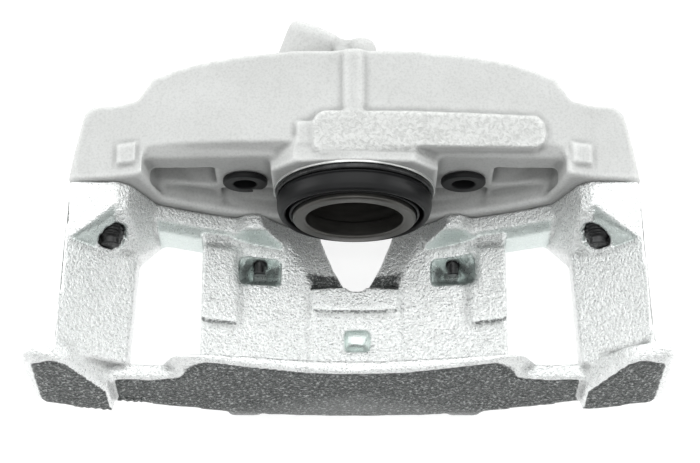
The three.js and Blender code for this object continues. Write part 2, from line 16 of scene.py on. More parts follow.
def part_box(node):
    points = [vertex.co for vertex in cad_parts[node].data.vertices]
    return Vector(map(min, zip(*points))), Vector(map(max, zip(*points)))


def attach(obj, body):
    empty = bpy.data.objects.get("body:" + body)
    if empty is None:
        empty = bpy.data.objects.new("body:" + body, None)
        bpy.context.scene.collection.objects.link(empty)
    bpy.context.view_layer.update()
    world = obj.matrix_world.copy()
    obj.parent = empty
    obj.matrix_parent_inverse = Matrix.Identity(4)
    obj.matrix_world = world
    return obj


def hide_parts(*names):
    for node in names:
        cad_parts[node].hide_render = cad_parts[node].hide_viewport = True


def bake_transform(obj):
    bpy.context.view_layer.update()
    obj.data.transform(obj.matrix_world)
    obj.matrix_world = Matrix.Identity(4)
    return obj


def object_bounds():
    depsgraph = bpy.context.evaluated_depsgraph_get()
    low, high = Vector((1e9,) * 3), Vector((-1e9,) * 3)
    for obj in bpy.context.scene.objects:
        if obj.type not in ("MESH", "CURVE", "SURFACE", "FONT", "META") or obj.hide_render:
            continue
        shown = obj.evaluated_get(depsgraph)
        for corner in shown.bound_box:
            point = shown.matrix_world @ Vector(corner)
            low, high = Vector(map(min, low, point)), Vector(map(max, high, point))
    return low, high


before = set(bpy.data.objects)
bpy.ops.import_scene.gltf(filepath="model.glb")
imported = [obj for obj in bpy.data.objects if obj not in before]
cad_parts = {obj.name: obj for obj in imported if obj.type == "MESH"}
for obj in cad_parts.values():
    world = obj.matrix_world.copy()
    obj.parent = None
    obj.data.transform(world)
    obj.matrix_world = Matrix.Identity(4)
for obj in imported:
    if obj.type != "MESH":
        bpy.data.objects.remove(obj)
cad_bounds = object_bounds()

# ---- Driving dimensions, mm ----

MM = 0.001
PISTON_RIM = -15.6  # y of the piston's rim
PISTON_R = 30.0
PISTON_BACK = 41.4  # y of the piston's closed end
CUP_R = 23.6
CUP_FLOOR = 18.4  # y
BOOT_SEAT_R = 38.6
BUSH_X = 53.3
BUSH_FACE = 6.4  # y of the housing's face that the bush's flange lies on
BUSH_BACK = 52.3  # y of the bush's rear lip
BUSH_HOLE_R = 5.6
CAP_SEAT = 55.1  # y of the guide cap's flange
FRAME_BOLT = {
    "left": -116.5, "right": 116.5, "z": 8.0, "r": 6.0, "pitch": 1.75, "tip": -31.0, "seat": 21.0,
    "point_r": 4.4, "point": 3.6, "flange_r": 12.4, "flats": 18.0, "head": 12.0,
}
BRIDGE_BOLT = {
    "left": -47.5, "right": 49.7, "z": -40.0, "r": 4.0, "pitch": 1.25, "tip": -29.5, "seat": 12.0,
    "point_r": 2.9, "point": 7.3, "flange_r": 8.4, "flats": 13.0, "head": 9.0,
}
BLEEDER = {"x": 20.0, "z": -26.0, "seat": 62.0, "r": 5.0, "pitch": 1.0, "flats": 11.0}
DISC_AXIS_Z = 138.0
PANEL_R = 178.0  # radius of the bridge's inner panels about the disc's axis

# ---- Casting skin ----

CASTING_VOXEL = 1.1  # mm
CASTING_NOISE_SEED = 7.3
WELD = 0.001  # mm, distance under which the points of the sharp solid are one point
RELIEF_ROUNDS = 7  # rounds of smoothing that a point's relief is measured against
RELIEF_GAIN = 0.6  # relief mask for each mm that a point stands out of the smoothed skin

# ---- Camera and floor ----

LENS = 92.57  # mm
CAMERA_ELEVATION = 69.5  # degrees
CAMERA_DISTANCE = 878.0  # mm
CAMERA_TARGET = (-2.1, -18.4, -6.9)
FLOOR_HALF = 3.0  # m
FLOOR_DROP = 0.0004  # m, gap under the object

piston_low, piston_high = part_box("piston")
ORIGIN = np.array([
    (piston_low.x + piston_high.x) / 2, piston_low.y - PISTON_RIM * MM, (piston_low.z + piston_high.z) / 2,
])


def in_metres(points):
    """Points in mm from the boot seat, as points of the frame in metres."""
    return np.asarray(points, float) * MM + ORIGIN


def place(x, y, z):
    return Vector(in_metres([x, y, z]))


# ---- Materials ----

NOISE_SCALE = 0.5  # noise texture scale for lumps of one unit
WAVE_SCALE = 0.314  # wave texture scale for bands one unit apart


class Shader:
    """A material's node tree, with one short call for each kind of node it uses."""

    def __init__(self, name):
        self.material = bpy.data.materials.new(name)
        self.material.use_nodes = True
        self.tree = self.material.node_tree
        self.surface = self.tree.nodes["Principled BSDF"]
        self.coordinates = self.node("ShaderNodeTexCoord").outputs["Object"]

    def node(self, kind, **settings):
        made = self.tree.nodes.new(kind)
        for key, value in settings.items():
            setattr(made, key, value)
        return made

    def link(self, source, target):
        self.tree.links.new(source, target)

    def feed(self, made, values):
        """Sets a node's inputs by name: a socket is linked, and anything else is its value."""
        for key, value in values.items():
            if isinstance(value, bpy.types.NodeSocket):
                self.link(value, made.inputs[key])
            else:
                made.inputs[key].default_value = value
        return made

    def set(self, **values):
        self.feed(self.surface, {key.replace("_", " "): value for key, value in values.items()})

    def grain(self, size_mm, detail=3.0, roughness=0.55, stretch=(1, 1, 1), distortion=0.0):
        """Noise whose lumps are about size_mm across."""
        scaled = self.feed(self.node("ShaderNodeMapping"), {"Vector": self.coordinates, "Scale": stretch})
        made = self.node("ShaderNodeTexNoise")
        self.feed(made, {
            "Vector": scaled.outputs[0], "Scale": NOISE_SCALE / (size_mm * MM), "Detail": detail,
            "Roughness": roughness, "Distortion": distortion,
        })
        return made.outputs["Fac"]

    def ramp(self, source, stops):
        made = self.node("ShaderNodeValToRGB")
        elements = made.color_ramp.elements
        while len(elements) < len(stops):
            elements.new(0.5)
        for element, (position, color) in zip(elements, stops):
            element.position = position
            element.color = (*color, 1) if isinstance(color, tuple) else (color, color, color, 1)
        self.link(source, made.inputs["Fac"])
        return made.outputs["Color"]

    def blend(self, factor, first, second, mode="MIX"):
        made = self.node("ShaderNodeMix", data_type="RGBA", blend_type=mode)
        for index, value in ((0, factor), (6, first), (7, second)):
            if isinstance(value, bpy.types.NodeSocket):
                self.link(value, made.inputs[index])
            elif isinstance(value, tuple):
                made.inputs[index].default_value = (*value, 1)
            else:
                made.inputs[index].default_value = value
        return made.outputs[2]

    def math(self, operation, first, second):
        made = self.node("ShaderNodeMath", operation=operation)
        for index, value in enumerate((first, second)):
            if isinstance(value, bpy.types.NodeSocket):
                self.link(value, made.inputs[index])
            else:
                made.inputs[index].default_value = value
        return made.outputs[0]

    def attribute(self, name):
        return self.node("ShaderNodeAttribute", attribute_name=name).outputs["Fac"]

    def bump(self, height, depth_mm, strength, normal=None):
        made = self.node("ShaderNodeBump")
        self.feed(made, {"Height": height, "Distance": depth_mm * MM, "Strength": strength})
        if normal is not None:
            self.link(normal, made.inputs["Normal"])
        return made.outputs["Normal"]

    def rings(self, pitch_mm, centre=None):
        """Fine turning marks: even bands along Y, or rings round a centre line parallel to Y."""
        if centre is None:
            along_y = {"Vector": self.coordinates, "Scale": (0.0, 1.0, 0.0)}
            scaled = self.feed(self.node("ShaderNodeMapping"), along_y)
            made = self.node("ShaderNodeTexWave", wave_type="BANDS", bands_direction="Y")
            vector = scaled.outputs[0]
        else:
            moved = self.feed(self.node("ShaderNodeMapping"), {
                "Vector": self.coordinates, "Location": tuple(-c for c in centre),
            })
            made = self.node("ShaderNodeTexWave", wave_type="RINGS", rings_direction="Y")
            vector = moved.outputs[0]
        scale = WAVE_SCALE / (pitch_mm * MM)
        self.feed(made, {"Vector": vector, "Scale": scale, "Distortion": 0.6, "Detail": 2.0})
        return made.outputs["Fac"]


def edge_shade_and_highlight(shader, colour, dark, bright):
    """The same colour, with painted shade along inner corners and painted highlights along outer edges."""
    tone = shader.ramp(shader.attribute("relief"), [(0.26, dark), (0.47, 1.0), (0.56, 1.0), (0.80, bright)])
    return shader.blend(1.0, colour, tone, "MULTIPLY")


def blasted_aluminium():
    """A blasted aluminium casting: a soft pebbled skin, rougher on the raised plate, with painted shade in
    inner corners, on front faces and in the side pockets, and painted highlights along outer edges.
    """
    shader = Shader("blasted_aluminium")
    plaque = shader.attribute("plaque")
    cloud = shader.grain(14, detail=2.0)
    fine = shader.grain(0.55, detail=4.0, roughness=0.65)
    pebble = shader.grain(1.6, detail=2.0)
    scaly = shader.grain(1.0, detail=2.0, distortion=0.8)
    tone = shader.ramp(cloud, [(0.25, (0.52, 0.52, 0.513)), (0.75, (0.575, 0.575, 0.57))])
    speck = shader.ramp(fine, [(0.30, 0.80), (0.55, 1.0)])
    toned = shader.blend(0.8, tone, speck, "MULTIPLY")
    plate_tone = shader.ramp(scaly, [(0.36, (0.40, 0.40, 0.392)), (0.60, (0.70, 0.70, 0.69))])
    colour = shader.blend(shader.math("MULTIPLY", plaque, 0.45), toned, plate_tone)
    rough = shader.ramp(pebble, [(0.3, 0.48), (0.7, 0.62)])
    shallow = shader.bump(fine, 0.10, 0.55)
    lumpy = shader.bump(pebble, 0.14, 0.45, shallow)
    plate = shader.bump(shader.math("MULTIPLY", scaly, plaque), 0.7, 0.9, lumpy)
    # Painted shade along inner corners and painted highlights along outer edges.
    crease_shaded_edge_lit = edge_shade_and_highlight(shader, colour, 0.66, 1.22)
    # Painted shade: darker on faces that face the front and in the side pockets.
    shaded = shader.blend(shader.attribute("shade"), crease_shaded_edge_lit, (0.02, 0.02, 0.02))
    shader.set(Base_Color=shaded, Metallic=0.08, Roughness=rough, Normal=plate)
    return shader.material


def zinc_iron():
    """Bright zinc on a sand-cast skin: coarse sparkling grain, and smoother facets that the cores left, whose
    darker green-grey tone is painted shade. Painted shade also makes dark speckled patches and darker inner
    corners, and painted highlights run along outer edges.
    """
    shader = Shader("zinc_iron")
    facet_shade = shader.attribute("smoother_shaded_facets")
    shade = shader.attribute("shade")
    keep = shader.math("SUBTRACT", 1.0, shader.math("MULTIPLY", facet_shade, 0.85))
    coarse = shader.grain(0.7, detail=3.0, roughness=0.6)
    fine = shader.grain(0.35, detail=2.0)
    cloud = shader.grain(18, detail=2.0)
    pits = shader.ramp(coarse, [(0.34, 0.78), (0.48, 0.96), (0.60, 1.0)])
    base = shader.ramp(cloud, [(0.3, (0.92, 0.93, 0.927)), (0.7, (0.97, 0.975, 0.973))])
    grainy = shader.blend(keep, base, shader.blend(1.0, base, pits, "MULTIPLY"))
    # Painted shade along inner corners and painted highlights along outer edges.
    crease_shaded_edge_lit = edge_shade_and_highlight(shader, grainy, 0.60, 1.06)
    # Painted shade: the smoother facets darker and green-grey.
    green = shader.blend(shader.math("MULTIPLY", facet_shade, 0.85), crease_shaded_edge_lit, (0.69, 0.755, 0.735))
    # Painted shade: dark speckled colour for the shaded patches, made paler low on the bar's face by painted
    # light.
    specks = [(0.40, (0.035, 0.039, 0.038)), (0.56, (0.11, 0.117, 0.115)), (0.70, (0.50, 0.51, 0.505))]
    dusk = shader.ramp(coarse, specks)
    pale = shader.blend(0.30, dusk, (0.42, 0.43, 0.425))
    shade_tone = shader.blend(shader.attribute("painted_light_patch"), dusk, pale)
    # The painted shade patches get ragged borders from the grain.
    ragged = shader.math("ADD", shade, shader.math("MULTIPLY", shader.math("SUBTRACT", coarse, 0.5), 1.3))
    edge = shader.ramp(ragged, [(0.30, 0.0), (0.60, 1.0)])
    patch = shader.math("MULTIPLY", edge, shader.ramp(shade, [(0.0, 0.0), (0.3, 1.0)]))
    colour = shader.blend(patch, green, shade_tone)
    rough = shader.ramp(fine, [(0.3, 0.24), (0.7, 0.38)])
    height = shader.math("MULTIPLY", coarse, keep)
    rolled = shader.bump(height, 0.9, 1.0)
    crisp = shader.bump(shader.math("MULTIPLY", fine, keep), 0.2, 0.7, rolled)
    shader.set(Base_Color=colour, Metallic=0.92, Roughness=rough, Normal=crisp)
    return shader.material


def machined(name, colour, metallic, rough, pitch_mm, centre=None, marks=0.03):
    """Metal with fine turning marks."""
    shader = Shader(name)
    turned = shader.rings(pitch_mm, centre=centre)
    smear = shader.grain(6, detail=3.0, stretch=(1, 5, 1))
    dusk = tuple(0.72 * c for c in colour)
    tone = shader.ramp(smear, [(0.3, dusk), (0.7, colour)])
    lined = shader.blend(0.25, tone, shader.ramp(turned, [(0.2, 0.55), (0.8, 1.0)]), "MULTIPLY")
    spread = shader.ramp(smear, [(0.3, rough), (0.7, rough + 0.14)])
    shader.set(Base_Color=lined, Metallic=metallic, Roughness=spread, Normal=shader.bump(turned, marks, 0.6))
    return shader.material


def coated(name, colour, metallic, rough, grain_mm, depth_mm):
    """A dark coating or plating with faint wear on a grained surface."""
    shader = Shader(name)
    grain = shader.grain(grain_mm, detail=4.0)
    wear = shader.grain(4.0, detail=5.0, roughness=0.7)
    bright = tuple(min(1.0, 2.2 * c + 0.02) for c in colour)
    tone = shader.ramp(wear, [(0.45, colour), (0.8, bright)])
    spread = shader.ramp(grain, [(0.3, rough), (0.7, rough + 0.16)])
    shader.set(Base_Color=tone, Metallic=metallic, Roughness=spread, Normal=shader.bump(grain, depth_mm, 0.5))
    return shader.material


def moulded_rubber(name, colour, rough):
    """Black rubber with a faint bloom."""
    shader = Shader(name)
    bloom = shader.grain(9, detail=4.0)
    skin = shader.grain(0.5, detail=3.0)
    tone = shader.ramp(bloom, [(0.35, colour), (0.8, tuple(1.9 * c for c in colour))])
    spread = shader.ramp(bloom, [(0.3, rough), (0.7, rough + 0.12)])
    shader.set(Base_Color=tone, Roughness=spread, Normal=shader.bump(skin, 0.05, 0.4))
    shader.surface.inputs["Specular IOR Level"].default_value = 0.2
    return shader.material


def plain_floor():
    shader = Shader("floor_white")
    tone = shader.ramp(shader.grain(300, detail=1.0), [(0.3, (0.40, 0.40, 0.40)), (0.7, (0.42, 0.42, 0.42))])
    shader.set(Base_Color=tone, Roughness=0.9, Emission_Color=(1, 1, 1, 1), Emission_Strength=0.72)
    return shader.material


# ---- Mesh making ----

THREAD_DEPTH = 0.61  # of the pitch


def make_object(name, points, faces, material):
    mesh = bpy.data.meshes.new(name)
    mesh.from_pydata([tuple(p) for p in points], [], faces)
    work = bmesh.new()
    work.from_mesh(mesh)
    bmesh.ops.recalc_face_normals(work, faces=work.faces)
    work.to_mesh(mesh)
    work.free()
    mesh.materials.append(material)
    mesh.shade_smooth()
    made = bpy.data.objects.new(name, mesh)
    bpy.context.scene.collection.objects.link(made)
    return made


def softened(corners, radius, closed, steps=4):
    """A profile whose corners are rounded by short curves."""
    corners = [np.array(c, float) for c in corners]
    count = len(corners)
    curve = []
    for i, corner in enumerate(corners):
        if not closed and i in (0, count - 1):
            curve.append(corner)
            continue
        before, after = corners[i - 1] - corner, corners[(i + 1) % count] - corner
        reach = min(radius, 0.45 * np.linalg.norm(before), 0.45 * np.linalg.norm(after))
        start = corner + before / np.linalg.norm(before) * reach
        end = corner + after / np.linalg.norm(after) * reach
        for t in np.linspace(0, 1, steps + 1):
            curve.append((1 - t) ** 2 * start + 2 * t * (1 - t) * corner + t * t * end)
    return curve


def divided(profile, longest, closed):
    """The same profile with no edge longer than longest."""
    dense = []
    pairs = list(zip(profile, profile[1:] + profile[:1])) if closed else list(zip(profile, profile[1:]))
    for start, end in pairs:
        pieces = max(1, math.ceil(np.linalg.norm(end - start) / longest))
        dense.extend(start + (end - start) * k / pieces for k in range(pieces))
    return dense if closed else dense + [profile[-1]]


def spin(profile, x=0.0, z=0.0, steps=96, warp=None):
    """Points in metres and faces of a closed round solid about a line parallel to Y.

    The profile of (radius, y) points runs from the axis to the axis, or is a loop clear of it, and
    warp(radii, y, angles) changes a ring's radii.
    """
    on_axis = profile[0][0] < 1e-6
    angles = np.arange(steps) * math.tau / steps
    rings = profile[1:-1] if on_axis else profile
    points = []
    for radius, y in rings:
        radii = np.full(steps, float(radius))
        if warp is not None:
            radii = warp(radii, y, angles)
        across, up = x + radii * np.cos(angles), z + radii * np.sin(angles)
        points.append(np.column_stack([across, np.full(steps, y), up]))
    points = np.concatenate(points)
    faces = []
    count = len(rings)
    for ring in range(count - 1 if on_axis else count):
        low, high = ring * steps, (ring + 1) % count * steps
        for k in range(steps):
            follow = (k + 1) % steps
            faces.append((low + k, low + follow, high + follow, high + k))
    if on_axis:
        first, last = len(points), len(points) + 1
        points = np.vstack([points, [[x, profile[0][1], z], [x, profile[-1][1], z]]])
        top = (count - 1) * steps
        for k in range(steps):
            follow = (k + 1) % steps
            faces.append((first, follow, k))
            faces.append((last, top + k, top + follow))
    return in_metres(points), faces


def joined(*solids):
    """Several closed solids as the points and faces of one mesh."""
    points, faces, offset = [], [], 0
    for solid_points, solid_faces in solids:
        points.append(solid_points)
        faces.extend(tuple(index + offset for index in face) for face in solid_faces)
        offset += len(solid_points)
    return np.concatenate(points), faces


def turned_piece(name, corners, material, body, radius=0.4, longest=4.0, x=0.0, z=0.0, steps=128, warp=None):
    closed = corners[0][0] > 0
    profile = divided(softened(corners, radius, closed), longest, closed)
    made = make_object(name, *spin(profile, x, z, steps, warp), material)
    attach(made, body)
    return made


def thread_warp(major, pitch, low, high):
    """A thread between two values of y, which fades out over one turn at each end."""
    depth = THREAD_DEPTH * pitch

    def warp(radii, y, angles):
        if not low < y < high:
            return radii
        turn = (y / pitch - angles / math.tau) % 1.0
        groove = np.clip(1.15 * (1 - np.abs(2 * turn - 1)) - 0.1, 0, 1)
        fade = min(1.0, (y - low) / pitch, (high - y) / pitch)
        return np.where(radii > major - 0.3, radii - depth * fade * groove, radii)

    return warp


def hexagon_warp(flats, low, high):
    """Six flats between two values of y."""
    def warp(radii, y, angles):
        if not low <= y <= high:
            return radii
        across = flats / 2 / np.cos((angles + math.pi / 6) % (math.pi / 3) - math.pi / 6)
        return np.minimum(radii, across)

    return warp


# ---- Castings ----

def casting(name, node, material, smoothing, lumps):
    """A softened, slightly lumpy copy of a casting's sharp CAD solid, with fillets where its walls meet.

    smoothing is a list of (rounds, weight function) pairs, and lumps are (size, height) pairs in mm.
    """
    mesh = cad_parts[node].data.copy()
    work = bmesh.new()
    work.from_mesh(mesh)
    bmesh.ops.remove_doubles(work, verts=work.verts, dist=WELD * MM)
    work.to_mesh(mesh)
    work.free()
    mesh.materials.clear()
    rough = bpy.data.objects.new(f"{name}_source", mesh)
    bpy.context.scene.collection.objects.link(rough)
    remesh = rough.modifiers.new("skin", "REMESH")
    remesh.mode = "VOXEL"
    remesh.voxel_size = CASTING_VOXEL * MM
    made_mesh = bpy.data.meshes.new_from_object(rough.evaluated_get(bpy.context.evaluated_depsgraph_get()))
    bpy.data.objects.remove(rough)
    made_mesh.name = name
    made_mesh.materials.clear()
    made_mesh.materials.append(material)
    points = read_points(made_mesh)
    edges = read_edges(made_mesh)
    for rounds, weight in smoothing:
        points = relaxed(points, edges, weight(*points.T), rounds)
    write_points(made_mesh, points)
    normals = read_normals(made_mesh)
    blurred = relaxed(points, edges, np.ones(len(points)), RELIEF_ROUNDS)
    relief = ((points - blurred) * normals).sum(axis=1)
    height = sum(depth * skin_noise(points, size) for size, depth in lumps)
    write_points(made_mesh, points + normals * height[:, None])
    made_mesh.shade_smooth()
    made = bpy.data.objects.new(name, made_mesh)
    bpy.context.scene.collection.objects.link(made)
    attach(made, "caliper")
    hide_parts(node)
    # The relief mask places painted shade in inner corners and painted highlights on outer edges.
    mask(made, "relief", 0.5 + RELIEF_GAIN * relief)
    return made, points, normals


def relaxed(points, edges, weight, rounds):
    """Each point moves towards the middle of its neighbours, by its weight, a number of times."""
    first, second = edges.T
    count = np.bincount(edges.ravel(), minlength=len(points))
    for _ in range(rounds):
        total = np.column_stack([
            np.bincount(first, points[second, axis], len(points))
            + np.bincount(second, points[first, axis], len(points)) for axis in range(3)
        ])
        points = points + (total / count[:, None] - points) * weight[:, None]
    return points


def read_edges(mesh):
    flat = np.empty(len(mesh.edges) * 2, np.int32)
    mesh.edges.foreach_get("vertices", flat)
    return flat.reshape(-1, 2)


def read_points(mesh):
    """A mesh's points in mm from the boot seat."""
    flat = np.empty(len(mesh.vertices) * 3)
    mesh.vertices.foreach_get("co", flat)
    return (flat.reshape(-1, 3) - ORIGIN) / MM


def read_normals(mesh):
    flat = np.empty(len(mesh.vertices) * 3, np.float32)
    mesh.vertex_normals.foreach_get("vector", flat)
    return flat.reshape(-1, 3).astype(float)


def write_points(mesh, points):
    mesh.vertices.foreach_set("co", in_metres(points).ravel())
    mesh.update()


def skin_noise(points, size):
    offset = Vector((CASTING_NOISE_SEED, 0, 0))
    return np.array([noise.noise(Vector(p) / size + offset) for p in points])


def mask(obj, name, values):
    """Stores a number from 0 to 1 for each point, which the material reads by name."""
    attribute = obj.data.attributes.new(name, "FLOAT", "POINT")
    attribute.data.foreach_set("value", np.clip(values, 0, 1).astype(np.float32))


def step(value, low, high):
    """A smooth rise from 0 at low to 1 at high."""
    t = np.clip((value - low) / (high - low), 0, 1)
    return t * t * (3 - 2 * t)


def within(value, low, high):
    """1 between low and high, and fading to 0 over 1 mm past each of them."""
    return step(value, low - 1, low) * (1 - step(value, high, high + 1))


def build_frame():
    def even(x, y, z):
        return np.full_like(x, 0.5)

    def seams(x, y, z):
        """Where the bridge's raised panels blend into it, and the front corners of the bar."""
        pad_stop = within(np.abs(x), 53, 61) * within(y, -55, -15)
        middle = within(np.abs(x - 0.5), 18, 25) * within(y, -46, -28)
        return 0.5 * np.clip(pad_stop + middle + step(-y, 86.5, 89), 0, 1)

    made, points, normals = casting(
        "frame_casting", "outer_frame", zinc_iron(), [(3, even), (12, seams)], [(2.4, 0.12), (9.0, 0.20)],
    )
    x, y, z = points.T
    front = -normals[:, 1]
    inward = -np.sign(x) * normals[:, 0]
    sunk = np.hypot(x, z - DISC_AXIS_Z) - PANEL_R
    bar_face = step(front, 0.86, 0.95) * step(-y, 88.0, 89.5)
    arm_side = step(-inward, 0.35, 0.7) * step(np.abs(x), 122, 125) * within(y, -84, -14)
    around_piston = step(-np.abs(np.hypot(x, z) - 41.5 - 0.236 * (y + 37)), -3.5, -1.5)
    scoop = around_piston * within(y, -38, -4) * step(-z, 18, 24)
    scoop_end = scoop * step(-y, 27, 30)
    root_side = within(np.abs(x), 92, 113) * within(y, -33, -4) * step(inward, 0.25, 0.5)
    panel_step = within(np.abs(x), -1, 23) * within(y, -52, -47) * step(front, 0.25, 0.6)
    stop_step = within(np.abs(x), 55, 78) * within(y, -61, -56) * step(front, 0.25, 0.6)
    rail_top = within(np.abs(x), 36, 92) * within(y, -13, -2) * step(normals[:, 2], 0.5, 0.8)
    # Painted shade: dark patches on the bar's face, the arms' outer sides, the scoops round the piston, the
    # root sides, the panel and pad stop steps, and the rail's top.
    shade = np.maximum.reduce([
        0.9 * bar_face, 0.8 * arm_side, 0.22 * scoop, 0.7 * scoop_end, 0.14 * root_side, 0.5 * panel_step,
        0.5 * stop_step, 0.14 * rail_top,
    ])
    mask(made, "shade", shade)
    # Painted light: a paler patch low in the middle of the bar's shaded face.
    low_middle = bar_face * step(-z - 0.3 * np.abs(x), 18, 40)
    mask(made, "painted_light_patch", low_middle)
    # Smoother facets with a painted-shade green-grey tone: the front-facing facets of the roots, rail and
    # bosses, and the pockets and slot.
    root_facet = within(np.abs(x), 93, 137) * within(y, -37, -12) * step(front, 0.35, 0.55) * (1 - root_side)
    rail_front = within(np.abs(x), 55, 96) * within(y, -20, -9) * step(front, 0.45, 0.7)
    boss_front = within(np.abs(x), 34, 62) * within(y, -25, -12) * step(front, 0.45, 0.7)
    pocket = within(np.abs(x), 28, 66) * within(y, -40, -20) * step(sunk, 0.4, 1.0)
    slot = within(x, -7, 11) * within(y, -74, -58) * step(sunk, -0.4, 0.4)
    mask(made, "smoother_shaded_facets", np.maximum.reduce([root_facet, rail_front, boss_front, pocket, slot]))
    scallop_mould_line(made, points)


def scallop_mould_line(made, points):
    """A row of small scallops from the mould's parting line, low on the front of the bar's left end."""
    x, y, z = points.T
    low_edge = -27.0 + (x + 147) * -0.16
    along = within(x, -148, -104) * step(-y, 92, 94) * step(-np.abs(z - low_edge - 2.0), -3.4, -1.0)
    ripple = np.abs(np.sin(math.pi * (x + 148) / 3.6))
    shifted = read_points(made.data)
    shifted[:, 1] -= 0.9 * along * ripple
    write_points(made.data, shifted)


def build_housing():
    def crisp_marks(x, y, z):
        """Even smoothing, with half of it on the raised plate and the small square marks."""
        plate = step(z, 31, 34) * within(np.abs(x - 30), -1, 63)
        squares = within(np.abs(x), 101, 116) * within(y, 0, 16)
        return 0.5 - 0.25 * np.clip(plate + squares, 0, 1)

    made, points, normals = casting(
        "housing_casting", "piston_housing", blasted_aluminium(), [(3, crisp_marks)],
        [(3.0, 0.06), (14.0, 0.2)],
    )
    x, y, z = points.T
    plate = within(x, -19, 90) * within(y, 5, 25) * step(normals[:, 2], 0.3, 0.6) * step(z, 30, 33)
    mask(made, "plaque", plate)
    # Painted shade on faces that face the front, and more of it low in the side pockets.
    front = step(-normals[:, 1], 0.75, 0.95) * step(-y, -24, -20)
    pocket = within(np.abs(x), 66, 99) * within(y, 8, 24)
    mask(made, "shade", np.maximum(0.06 * front, 0.15 * pocket * step(28 - z, 0, 4)))
    bright = machined("machined_aluminium", (0.92, 0.92, 0.91), 0.9, 0.25, 0.35, centre=tuple(ORIGIN))
    lip = [
        (BOOT_SEAT_R - 0.15, -0.8), (BOOT_SEAT_R + 0.6, -0.8), (BOOT_SEAT_R + 0.9, 1.0),
        (BOOT_SEAT_R - 0.15, 3.0),
    ]
    seat_lip = turned_piece("boot_seat_lip", lip, bright, "caliper", radius=0.3, steps=192)


# ---- Piston and boot ----

def build_piston():
    dark = (0.13, 0.125, 0.117)
    steel = machined("phosphated_steel", dark, 0.8, 0.30, 0.5, centre=tuple(ORIGIN), marks=0.02)
    corners = [
        (0, CUP_FLOOR), (17.5, CUP_FLOOR), (CUP_R + 1.2, CUP_FLOOR - 5), (CUP_R + 1.2, -6.6), (CUP_R, -7.4),
        (CUP_R, PISTON_RIM + 0.9), (CUP_R + 0.9, PISTON_RIM), (PISTON_R - 0.9, PISTON_RIM),
        (PISTON_R, PISTON_RIM + 0.9), (PISTON_R, -12.6), (28.4, -12.2), (28.4, -8.8), (PISTON_R, -8.4),
        (PISTON_R, PISTON_BACK - 2), (PISTON_R - 2, PISTON_BACK), (0, PISTON_BACK),
    ]
    made = turned_piece("piston_cup", corners, steel, "piston", radius=0.35, longest=3.0, steps=192)
    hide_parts("piston")
    seal_rubber = moulded_rubber("seal_rubber", (0.035, 0.04, 0.05), 0.35)
    seal = [(PISTON_R + 0.3, 12), (PISTON_R + 3.3, 12), (PISTON_R + 3.3, 16), (PISTON_R + 0.3, 16)]
    made = turned_piece("square_seal", seal, seal_rubber, "caliper", radius=0.4)
    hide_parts("piston_seal")


def build_boot():
    rubber = moulded_rubber("boot_rubber", (0.008, 0.008, 0.0085), 0.30)
    ring_steel = coated("black_steel", (0.03, 0.03, 0.0305), 0.7, 0.24, 0.8, 0.03)
    ring = [(35, -3.0), (37.9, -3.3), (38.4, -2.6), (38.4, -0.9), (37.6, -0.3), (35, -0.3)]
    made = turned_piece("boot_retaining_ring", ring, ring_steel, "caliper", radius=0.5, steps=192)
    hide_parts("boot_ring")
    corners = [
        (28.7, -11.8), (30.4, -12.2), (30.4, -12.9), (31.7, -12.9), (32.1, -8.0), (32.3, -5.4), (32.8, -4.6),
        (33.3, -5.4), (33.4, -12), (34.0, -13.3), (35.2, -13.7), (36.5, -12.6), (37.3, -10.4), (37.7, -8.2),
        (37.7, -5.2), (36.9, -4.4), (36.9, -3.2), (33.2, -3.2), (31, -4.4), (30.5, -8.6), (28.7, -9.1),
    ]
    profile = divided(softened(corners, 0.7, True, steps=5), 0.8, True)
    made = make_object("dust_boot_bellows", *spin(profile, steps=192), rubber)
    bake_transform(made)
    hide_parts("dust_boot")
    return rubber, ring_steel


# ---- Bolts, bushes, bleeder ----

def flanged_bolt(name, node, word, spec, steel):
    """A flanged hexagon bolt along -Y with a real thread and a plain dog point."""
    x, z, r, seat, tip = spec[word], spec["z"], spec["r"], spec["seat"], spec["tip"]
    thread_start = tip + spec["point"]
    shank = softened([
        (0, tip), (spec["point_r"], tip), (spec["point_r"], thread_start - 0.4), (r, thread_start + 0.9),
        (r, seat + 0.4), (0, seat + 0.4),
    ], 0.7, False)
    thread = thread_warp(r, spec["pitch"], thread_start, seat - 14)
    body = spin(divided(shank, spec["pitch"] / 8, False), x, z, 64, thread)
    flange_r, top = spec["flange_r"], seat + spec["head"]
    flat_r = spec["flats"] / 2
    flange = softened([
        (0, seat + 0.3), (flange_r - 0.4, seat + 0.3), (flange_r, seat + 1.6), (flat_r, seat + 4.2),
        (0, seat + 4.2),
    ], 0.6, False)
    corner_r = flat_r / math.cos(math.pi / 6)
    head = softened([
        (0, seat + 2), (corner_r, seat + 2), (corner_r, top - 1.4), (flat_r - 0.4, top), (flat_r - 2, top),
        (flat_r - 3.2, top - 0.8), (0, top - 0.8),
    ], 0.3, False)
    solids = joined(
        body, spin(divided(flange, 1.5, False), x, z, 96),
        spin(divided(head, 0.5, False), x, z, 96, hexagon_warp(spec["flats"], seat + 1, top + 1)),
    )
    made = make_object(name, *solids, steel)
    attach(made, "caliper")
    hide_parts(node)


